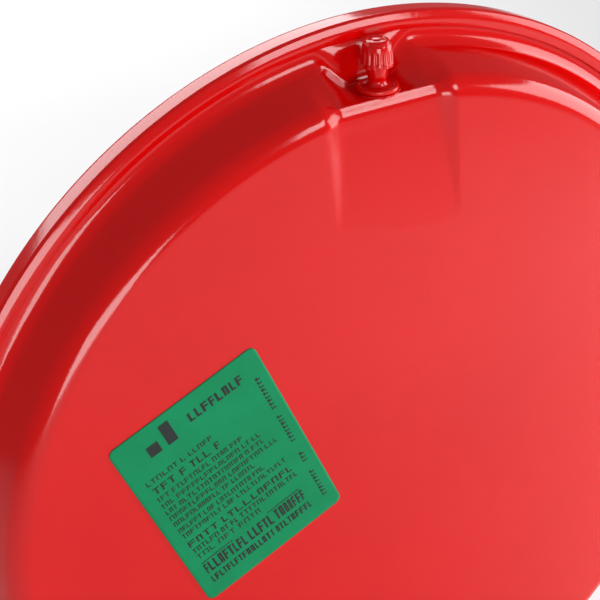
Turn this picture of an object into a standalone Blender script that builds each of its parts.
"""Flat expansion vessel of 6 litres for a wall-hung boiler.

A shallow front shell and a dished back shell of pressed steel are held flange to flange by a rolled clamp
ring, with the bead of a rubber diaphragm between them. A gas valve stands in a straight pocket of the front
shell's side, and a water nipple is welded to the middle of the back shell.

Frame: the vessel stands upright on its rim with the valve at the top. +Z is up, the front (gas side) looks
along -Y, and the origin is the centre of the nipple's end. Depths below are measured along -Y from the rear
edge of the clamp ring's cylindrical side, so a larger depth is nearer to the front.
"""

import math

import bmesh
import bpy
from mathutils import Matrix, Vector

MM = 0.001

# Driving dimensions, in millimetres.
RIM_RADIUS = 162.0        # outside of the clamp ring
STEEL = 1.2               # wall of the shells and of the ring
GAP = 0.3                 # clearance between touching pieces
FINE_GAP = 0.15           # clearance between the small pieces of the valve
RIM_BACK = 89.0           # from the nipple's end to the ring's rear edge
FRONT_CROWN = 26.5        # depth of the middle of the front plate
FRONT_EDGE = 24.3         # depth of the front plate where its shoulder starts
FLANGE_FRONT = 5.6        # front face of the gas shell's flange
BEAD_THICKNESS = 2.8      # rubber bead between the flanges
BACK_CROWN = -69.2        # depth of the middle of the back plate
VALVE_DEPTH = 14.4        # depth of the valve's axis
FACET_HEIGHT = 140.8      # height of the valve pocket's flat above the vessel's axis
POCKET_HALF_WIDTH = 22.0  # half of the pocket's width
NIPPLE_RADIUS = 8.3       # outside of the nipple's thread
NIPPLE_BORE = 5.0
LABEL_WIDTH = 57.0
LABEL_HEIGHT = 78.0
LABEL_X = -66.5
LABEL_Z = 24.5
LABEL_TURN = 22.7         # degrees anticlockwise, seen from the front

# Distances worked out from those above.
FLANGE_RADIUS = RIM_RADIUS - STEEL - 0.4
GAS_FLANGE_REAR = FLANGE_FRONT - STEEL
BEAD_FRONT = GAS_FLANGE_REAR - GAP
BEAD_REAR = BEAD_FRONT - BEAD_THICKNESS
WATER_FLANGE_FRONT = BEAD_REAR - GAP
WATER_FLANGE_REAR = WATER_FLANGE_FRONT - STEEL

# Steps of the turned shapes.
RIM_SEGMENTS = 64
SMALL_SEGMENTS = 16
CAP_SEGMENTS = 24
HOLE_SEGMENTS = 24

PARTS_NAME = "expansion_vessel"
CUTTERS_NAME = "cutters"

PAINT_RED = (0.62, 0.004, 0.006)
BRASS = (0.62, 0.45, 0.18)
RUBBER = (0.02, 0.02, 0.022)


# ---------------------------------------------------------------- scene and materials

def clear_scene():
    for old in list(bpy.data.objects):
        bpy.data.objects.remove(old, do_unlink=True)


def new_collection(name):
    collection = bpy.data.collections.new(name)
    bpy.context.scene.collection.children.link(collection)
    return collection


def material(name, colour, roughness, metallic=0.0):
    """A Principled material of one colour."""
    made = bpy.data.materials.new(name)
    made.use_nodes = True
    shader = made.node_tree.nodes["Principled BSDF"]
    shader.inputs["Base Color"].default_value = (*colour, 1.0)
    shader.inputs["Roughness"].default_value = roughness
    shader.inputs["Metallic"].default_value = metallic
    made.diffuse_color = (*colour, 1.0)
    return made


def shade_round(mesh, angle=35.0):
    """Smooth shading that keeps the edges sharper than the angle."""
    mesh.shade_smooth()
    mesh.set_sharp_from_angle(angle=math.radians(angle))


def place(mesh, name, collection, colour, matrix=None):
    """Puts a mesh in the collection as a named object with its material."""
    made = bpy.data.objects.new(name, mesh)
    collection.objects.link(made)
    if matrix is not None:
        made.matrix_world = matrix
    mesh.materials.clear()
    mesh.materials.append(colour)
    return made


# ---------------------------------------------------------------- frames

def vessel_frame():
    """Turned shapes are drawn with their depth along local Z, which looks towards the front (-Y)."""
    turn = Matrix.Rotation(math.radians(90), 4, "X")
    return Matrix.Translation((0, -RIM_BACK * MM, 0)) @ turn


def valve_frame():
    """Local Z runs outward along the valve from the pocket's flat."""
    return Matrix.Translation((0, -(RIM_BACK + VALVE_DEPTH) * MM, FACET_HEIGHT * MM))


# ---------------------------------------------------------------- modelling helpers

def turned_mesh(name, profile, segments, closed):
    """The mesh of a profile of (radius, depth) points in mm, turned about local Z by a Screw modifier."""
    mesh = bpy.data.meshes.new(name + "_profile")
    count = len(profile)
    edges = [(i, i + 1) for i in range(count - 1)]
    if closed:
        edges.append((count - 1, 0))
    mesh.from_pydata([(r * MM, 0, z * MM) for r, z in profile], edges, [])
    holder = bpy.data.objects.new(name + "_profile", mesh)
    bpy.context.scene.collection.objects.link(holder)
    screw = holder.modifiers.new("Screw", "SCREW")
    screw.axis = "Z"
    screw.angle = math.tau
    screw.steps = segments
    screw.render_steps = segments
    screw.use_merge_vertices = True
    screw.merge_threshold = 0.00001
    screw.use_normal_calculate = True
    graph = bpy.context.evaluated_depsgraph_get()
    graph.update()
    turned = bpy.data.meshes.new_from_object(holder.evaluated_get(graph))
    turned.name = name
    bpy.data.objects.remove(holder, do_unlink=True)
    return turned


def face_outward(mesh):
    """Makes the faces of a closed mesh point out, and welds what meets."""
    shape = bmesh.new()
    shape.from_mesh(mesh)
    bmesh.ops.remove_doubles(shape, verts=shape.verts, dist=0.000005)
    bmesh.ops.recalc_face_normals(shape, faces=shape.faces)
    if shape.calc_volume(signed=True) < 0:
        bmesh.ops.reverse_faces(shape, faces=shape.faces)
    shape.to_mesh(mesh)
    shape.free()


def turned_part(name, profile, segments, collection, colour, frame):
    """A solid turned from a closed profile."""
    mesh = turned_mesh(name, profile, segments, closed=True)
    face_outward(mesh)
    shade_round(mesh)
    return place(mesh, name, collection, colour, frame)


def thicken(owner, thickness, inward=True):
    """Turns an open surface into a wall with the Solidify modifier."""
    solid = owner.modifiers.new("Solidify", "SOLIDIFY")
    solid.thickness = thickness * MM
    solid.offset = -1.0 if inward else 1.0
    solid.use_even_offset = True
    return solid


def orient_towards(mesh, direction):
    """Turns an open surface's faces so that on average they look along the direction."""
    shape = bmesh.new()
    shape.from_mesh(mesh)
    bmesh.ops.recalc_face_normals(shape, faces=shape.faces)
    total = Vector((0, 0, 0))
    for face in shape.faces:
        total += face.normal * face.calc_area()
    if total.dot(Vector(direction)) < 0:
        bmesh.ops.reverse_faces(shape, faces=shape.faces)
    shape.to_mesh(mesh)
    shape.free()


def cylinder_cutter(name, radius, length, collection, matrix):
    """A round cutter along the local Z of its matrix and centred on it; sizes in mm."""
    mesh = bpy.data.meshes.new(name)
    shape = bmesh.new()
    bmesh.ops.create_cone(
        shape, cap_ends=True, segments=HOLE_SEGMENTS,
        radius1=radius * MM, radius2=radius * MM, depth=length * MM,
    )
    shape.to_mesh(mesh)
    shape.free()
    cutter = bpy.data.objects.new(name, mesh)
    collection.objects.link(cutter)
    cutter.matrix_world = matrix
    cutter.hide_render = True
    cutter.display_type = "WIRE"
    return cutter


def cut(owner, cutter):
    step = owner.modifiers.new("Hole", "BOOLEAN")
    step.operation = "DIFFERENCE"
    step.object = cutter
    step.solver = "EXACT"


# ---------------------------------------------------------------- shells and ring

def front_plate_depth(radius):
    """Depth of the front plate's outside, slightly crowned and flat in the very middle."""
    flat = 12.0
    edge = 136.0
    if radius <= flat:
        return FRONT_CROWN
    share = (min(radius, edge) - flat) / (edge - flat)
    return FRONT_CROWN - (FRONT_CROWN - FRONT_EDGE) * share ** 2


def gas_shell_profile():
    """Outside of the front shell from its middle to the flange's edge."""
    plate = [(r, front_plate_depth(r)) for r in (0.0, 12.0, 60.0, 100.0, 136.0)]
    shoulder = [(140.8, 23.4), (143.6, 21.6), (145.1, 19.0)]
    side = [(148.2, 12.6), (149.7, 9.6), (151.8, 7.2), (154.8, FLANGE_FRONT)]
    return plate + shoulder + side + [(FLANGE_RADIUS, FLANGE_FRONT)]


def pocket_profile():
    """The same stations of the front shell, along the middle of the valve's pocket."""
    plate = [(r, front_plate_depth(r)) for r in (0.0, 12.0, 60.0, 100.0)]
    shoulder = [(131.0, 24.6), (136.8, 23.9), (139.4, 22.8), (FACET_HEIGHT, 21.3)]
    side = [(FACET_HEIGHT, 14.4), (FACET_HEIGHT, 7.6), (142.2, 5.9), (147.0, FLANGE_FRONT)]
    return plate + shoulder + side + [(FLANGE_RADIUS, FLANGE_FRONT)]


def press_pocket(mesh):
    """Moves the columns of the turned surface near the top to the pocket's profile."""
    round_profile = gas_shell_profile()
    pressed = pocket_profile()
    for vertex in mesh.vertices:
        x, z, depth = vertex.co.x / MM, vertex.co.y / MM, vertex.co.z / MM
        radius = math.hypot(x, z)
        if z <= 0 or abs(x) > POCKET_HALF_WIDTH or radius < 50.0:
            continue
        nearest = min(
            range(len(round_profile)),
            key=lambda i: abs(round_profile[i][0] - radius) + abs(round_profile[i][1] - depth),
        )
        height, new_depth = pressed[nearest]
        if height == round_profile[nearest][0]:
            continue
        flat_x = height * x / z
        vertex.co = Vector((flat_x * MM, height * MM, new_depth * MM))


def build_gas_shell(parts, cutters, paint):
    mesh = turned_mesh("gas_shell", gas_shell_profile(), RIM_SEGMENTS, closed=False)
    press_pocket(mesh)
    orient_towards(mesh, (0, 0, 1))
    shade_round(mesh)
    shell = place(mesh, "gas_shell", parts, paint, vessel_frame())
    thicken(shell, STEEL)
    hole = cylinder_cutter("valve_hole", 4.6, 12.0, cutters, valve_frame())
    cut(shell, hole)
    return shell


def water_shell_profile():
    """Outside of the back shell from the nipple's hole to the flange's edge."""
    dish = [(6.3, BACK_CROWN), (60.0, -68.8), (95.0, -67.2), (113.0, -63.2), (125.5, -55.0), (133.5, -45.0)]
    side = [(139.8, -35.0), (145.2, -25.0), (148.4, -15.0), (149.9, -6.0), (151.4, -2.2)]
    flange = [(155.0, WATER_FLANGE_REAR), (FLANGE_RADIUS, WATER_FLANGE_REAR)]
    return dish + side + flange


def build_water_shell(parts, paint):
    mesh = turned_mesh("water_shell", water_shell_profile(), RIM_SEGMENTS, closed=False)
    orient_towards(mesh, (0, 0, -1))
    shade_round(mesh)
    shell = place(mesh, "water_shell", parts, paint, vessel_frame())
    thicken(shell, STEEL)
    return shell


def build_clamp_ring(parts, paint):
    """The rolled U-section that hooks over both flanges."""
    lip = 156.1
    inside_front = FLANGE_FRONT + GAP
    inside_rear = WATER_FLANGE_REAR - GAP
    inner_wall = RIM_RADIUS - STEEL
    profile = [
        (lip, inside_front), (inner_wall, inside_front), (inner_wall, inside_rear), (lip, inside_rear),
        (lip, inside_rear - STEEL), (RIM_RADIUS - 1.4, inside_rear - STEEL),
        (RIM_RADIUS, inside_rear + 0.2), (RIM_RADIUS, inside_front - 0.2),
        (RIM_RADIUS - 1.4, inside_front + STEEL), (lip, inside_front + STEEL),
    ]
    return turned_part("clamp_ring", profile, RIM_SEGMENTS, parts, paint, vessel_frame())


# ---------------------------------------------------------------- diaphragm

WEB_ROOT_RADIUS = 150.0    # where the web leaves the clamped bead
WEB_WALL = 1.8
BOSS_RADIUS = 21.0
BOSS_THICKNESS = 4.0
WEB_FLOOR = -64.6          # rear face of the web's floor


def build_diaphragm_bead(parts, rubber):
    """The part of the diaphragm that the flanges squeeze."""
    profile = [
        (FLANGE_RADIUS - GAP, BEAD_FRONT), (FLANGE_RADIUS - GAP, BEAD_REAR),
        (WEB_ROOT_RADIUS, BEAD_REAR), (WEB_ROOT_RADIUS, BEAD_FRONT),
    ]
    return turned_part("diaphragm_bead", profile, RIM_SEGMENTS, parts, rubber, vessel_frame())


def build_diaphragm_web(parts, rubber):
    """The thin bowl that the gas presses against the back shell when the system holds no water."""
    rim_r = WEB_ROOT_RADIUS - GAP
    rear = [
        (rim_r - 1.9, BEAD_REAR + 0.5), (146.8, -6.0), (145.4, -15.0), (142.0, -25.0), (136.6, -34.5),
        (130.0, -44.0), (121.4, -52.5), (109.4, -60.0), (93.0, WEB_FLOOR + 0.8),
        (BOSS_RADIUS + GAP, WEB_FLOOR),
    ]
    front = [
        (BOSS_RADIUS + GAP, WEB_FLOOR + WEB_WALL), (92.6, WEB_FLOOR + 0.8 + WEB_WALL), (108.5, -58.4),
        (120.2, -51.1), (128.6, -42.9), (135.0, -33.6), (140.3, -24.4), (143.6, -14.7), (145.0, -5.8),
        (145.9, BEAD_FRONT - 0.5), (rim_r, BEAD_FRONT - 0.5), (rim_r, BEAD_REAR + 0.5),
    ]
    return turned_part("diaphragm_web", rear + front, RIM_SEGMENTS, parts, rubber, vessel_frame())


def build_diaphragm_boss(parts, rubber):
    """The thick middle that keeps the rubber from being pushed into the nipple."""
    low = WEB_FLOOR - 0.8
    high = low + BOSS_THICKNESS
    profile = [
        (0.0, high), (BOSS_RADIUS - 1.2, high), (BOSS_RADIUS, high - 1.2),
        (BOSS_RADIUS, low + 0.8), (BOSS_RADIUS - 0.8, low), (0.0, low),
    ]
    return open_turned_part("diaphragm_boss", profile, CAP_SEGMENTS, parts, rubber, vessel_frame())


def open_turned_part(name, profile, segments, collection, colour, frame):
    """A solid turned from a profile that starts and ends on the axis."""
    mesh = turned_mesh(name, profile, segments, closed=False)
    face_outward(mesh)
    shade_round(mesh)
    return place(mesh, name, collection, colour, frame)


# ---------------------------------------------------------------- water nipple

def build_nipple(parts, steel):
    """The threaded stub: a spigot in the shell's hole, a collar against the shell and the threaded pipe."""
    end = -RIM_BACK
    collar_front = BACK_CROWN - GAP
    collar_rear = collar_front - 3.2
    profile = [
        (NIPPLE_BORE, -65.9), (5.8, -65.9), (5.8, collar_front), (11.5, collar_front),
        (12.2, collar_front - 0.7), (12.2, collar_rear + 0.8), (11.4, collar_rear), (7.3, collar_rear),
        (7.3, collar_rear - 1.6), (NIPPLE_RADIUS, collar_rear - 2.6), (NIPPLE_RADIUS, end + 1.0),
        (NIPPLE_RADIUS - 1.0, end), (NIPPLE_BORE, end),
    ]
    return turned_part("water_nipple", profile, CAP_SEGMENTS, parts, steel, vessel_frame())


def build_nipple_weld(parts, steel):
    """The fillet of weld round the nipple's collar."""
    front = BACK_CROWN - GAP
    profile = [(12.5, front), (12.5, front - 2.2), (13.4, front - 1.9), (15.0, front - 0.5), (15.2, front)]
    return turned_part("nipple_weld", profile, CAP_SEGMENTS, parts, steel, vessel_frame())


# ---------------------------------------------------------------- gas valve

STEM_TOP = 15.2
PIN_TOP = 14.7


def build_valve_stem(parts, paint):
    """The turned stem with its round base flange, and the bore that holds the core."""
    profile = [
        (2.0, -5.5), (4.0, -5.5), (4.3, -5.0), (4.3, GAP), (6.7, GAP), (7.0, 0.8), (6.9, 1.7), (6.2, 2.2),
        (4.0, 2.5), (3.2, 3.3), (3.75, 7.6), (3.85, 8.2), (3.85, STEM_TOP - 0.5), (3.4, STEM_TOP),
        (2.6, STEM_TOP), (2.6, 10.6), (2.0, 9.8),
    ]
    return turned_part("valve_stem", profile, SMALL_SEGMENTS, parts, paint, valve_frame())


def build_valve_weld(parts, steel):
    """The ring of weld that joins the stem to the shell on the inside of the pocket."""
    inner = -STEEL - GAP
    profile = [(4.6, inner), (6.6, inner), (6.2, inner - 0.9), (4.6, inner - 1.8)]
    return turned_part("valve_weld", profile, SMALL_SEGMENTS, parts, steel, valve_frame())


def build_core_body(parts, brass, teflon):
    """The fixed pieces of the valve core: threaded plug, barrel and the collar gasket between them."""
    plug = [(0.85, 11.75), (2.4, 11.75), (2.4, 14.7), (2.1, 15.0), (0.85, 15.0)]
    turned_part("core_plug", plug, SMALL_SEGMENTS, parts, brass, valve_frame())
    gasket = [(1.45, 10.45), (2.05, 10.45), (2.4, 10.9), (2.4, 11.6), (1.45, 11.6)]
    turned_part("core_collar_gasket", gasket, SMALL_SEGMENTS, parts, teflon, valve_frame())
    barrel = [
        (0.65, 1.0), (1.8, 1.0), (1.8, 10.3), (1.3, 10.3), (1.3, 11.6), (0.85, 11.6), (0.85, 9.9),
        (1.4, 9.9), (1.4, 1.6), (0.65, 1.6),
    ]
    turned_part("core_barrel", barrel, SMALL_SEGMENTS, parts, brass, valve_frame())


def build_core_pin(parts, brass, rubber):
    """The pieces that travel when the pin is pressed: pin, seat rubber, seat cup and the cup's foot."""
    pin = [
        (0.0, PIN_TOP), (0.35, PIN_TOP), (0.6, PIN_TOP - 0.3), (0.6, 9.6), (1.2, 9.6), (1.2, 9.1),
        (0.45, 9.1), (0.45, -2.6), (0.0, -2.6),
    ]
    open_turned_part("core_pin", pin, SMALL_SEGMENTS, parts, brass, valve_frame())
    seat = [(0.6, 0.2), (1.5, 0.2), (1.5, 0.85), (0.6, 0.85)]
    turned_part("core_seat_rubber", seat, SMALL_SEGMENTS, parts, rubber, valve_frame())
    cup = [(0.6, -0.8), (1.3, -0.8), (1.8, -0.3), (1.8, 0.7), (1.65, 0.7), (1.65, 0.05), (0.6, 0.05)]
    turned_part("core_seat_cup", cup, SMALL_SEGMENTS, parts, brass, valve_frame())
    foot = [(0.6, -1.9), (0.9, -1.9), (1.2, -1.4), (1.2, -0.95), (0.6, -0.95)]
    turned_part("core_pin_foot", foot, SMALL_SEGMENTS, parts, brass, valve_frame())


def build_core_spring(parts, steel):
    """The coil that pushes the pin outward, between the barrel's ledge and the pin's collar."""
    turns = 6
    low = 1.95
    high = 8.85
    coil_radius = 0.9
    steps = turns * 8
    curve = bpy.data.curves.new("core_spring", "CURVE")
    curve.dimensions = "3D"
    curve.bevel_depth = 0.16 * MM
    curve.bevel_resolution = 0
    curve.use_fill_caps = True
    spline = curve.splines.new("POLY")
    spline.points.add(steps)
    for step in range(steps + 1):
        angle = math.tau * turns * step / steps
        height = low + (high - low) * step / steps
        x = coil_radius * math.cos(angle) * MM
        y = coil_radius * math.sin(angle) * MM
        spline.points[step].co = (x, y, height * MM, 1.0)
    coil = bpy.data.objects.new("core_spring", curve)
    parts.objects.link(coil)
    coil.matrix_world = valve_frame()
    curve.materials.append(steel)
    return coil


def cap_flutes(mesh):
    """Presses every other column of the cap's side inward, which makes the grip's flutes."""
    depth = 0.3
    step = math.tau / CAP_SEGMENTS
    for vertex in mesh.vertices:
        x, y, height = vertex.co.x / MM, vertex.co.y / MM, vertex.co.z / MM
        radius = math.hypot(x, y)
        column = round(math.atan2(y, x) / step)
        if column % 2 == 0 or radius < 4.4 or not 9.3 < height < 14.3:
            continue
        scale = (radius - depth) / radius
        vertex.co.x *= scale
        vertex.co.y *= scale


def build_valve_cap(parts, paint):
    """The screw cap with a fluted side, a wider skirt and a small raised end."""
    profile = [
        (0.0, 17.2), (1.6, 17.2), (2.1, 16.8), (3.3, 16.8), (4.1, 16.1), (4.45, 14.2), (4.95, 10.2),
        (5.2, 9.2), (5.2, 8.4), (4.7, 8.1), (4.2, 8.1), (4.2, 16.0), (0.0, 16.0),
    ]
    mesh = turned_mesh("valve_cap", profile, CAP_SEGMENTS, closed=False)
    cap_flutes(mesh)
    face_outward(mesh)
    shade_round(mesh)
    return place(mesh, "valve_cap", parts, paint, valve_frame())


def build_cap_seal(parts, rubber):
    """The rubber disc under the cap's roof, which closes the stem's mouth."""
    profile = [(0.0, 15.85), (3.9, 15.85), (3.9, STEM_TOP + FINE_GAP), (0.0, STEM_TOP + FINE_GAP)]
    return open_turned_part("cap_seal", profile, CAP_SEGMENTS, parts, rubber, valve_frame())


# ---------------------------------------------------------------- label

def build_label(parts, green):
    """The thin label that follows the front plate's crown."""
    columns = 6
    rows = 8
    mesh = bpy.data.meshes.new("label")
    shape = bmesh.new()
    bmesh.ops.create_grid(shape, x_segments=columns, y_segments=rows, size=0.5)
    turn = math.radians(LABEL_TURN)
    for vertex in shape.verts:
        across = vertex.co.x * LABEL_WIDTH
        upward = vertex.co.y * LABEL_HEIGHT
        x = LABEL_X + across * math.cos(turn) - upward * math.sin(turn)
        z = LABEL_Z + across * math.sin(turn) + upward * math.cos(turn)
        depth = front_plate_depth(math.hypot(x, z)) + GAP
        vertex.co = Vector((x * MM, -(RIM_BACK + depth) * MM, z * MM))
    shape.to_mesh(mesh)
    shape.free()
    orient_towards(mesh, (0, -1, 0))
    label = place(mesh, "label", parts, green)
    thicken(label, 0.2, inward=False)
    return label


# ---------------------------------------------------------------- assembly

def build():
    clear_scene()
    parts = new_collection(PARTS_NAME)
    cutters = new_collection(CUTTERS_NAME)
    paint = material("red_paint", PAINT_RED, 0.25)
    rubber = material("rubber", RUBBER, 0.7)
    brass = material("brass", BRASS, 0.3, 1.0)
    steel = material("zinc_steel", (0.55, 0.56, 0.58), 0.35, 1.0)
    spring_steel = material("spring_steel", (0.5, 0.5, 0.5), 0.3, 1.0)
    teflon = material("white_plastic", (0.8, 0.8, 0.78), 0.5)
    green = material("label_green", (0.0, 0.30, 0.11), 0.45)

    build_gas_shell(parts, cutters, paint)
    build_water_shell(parts, paint)
    build_clamp_ring(parts, paint)
    build_diaphragm_bead(parts, rubber)
    build_diaphragm_web(parts, rubber)
    build_diaphragm_boss(parts, rubber)
    build_nipple(parts, steel)
    build_nipple_weld(parts, steel)
    build_valve_stem(parts, paint)
    build_valve_weld(parts, steel)
    build_core_body(parts, brass, teflon)
    build_core_pin(parts, brass, rubber)
    build_core_spring(parts, spring_steel)
    build_valve_cap(parts, paint)
    build_cap_seal(parts, rubber)
    build_label(parts, green)


build()
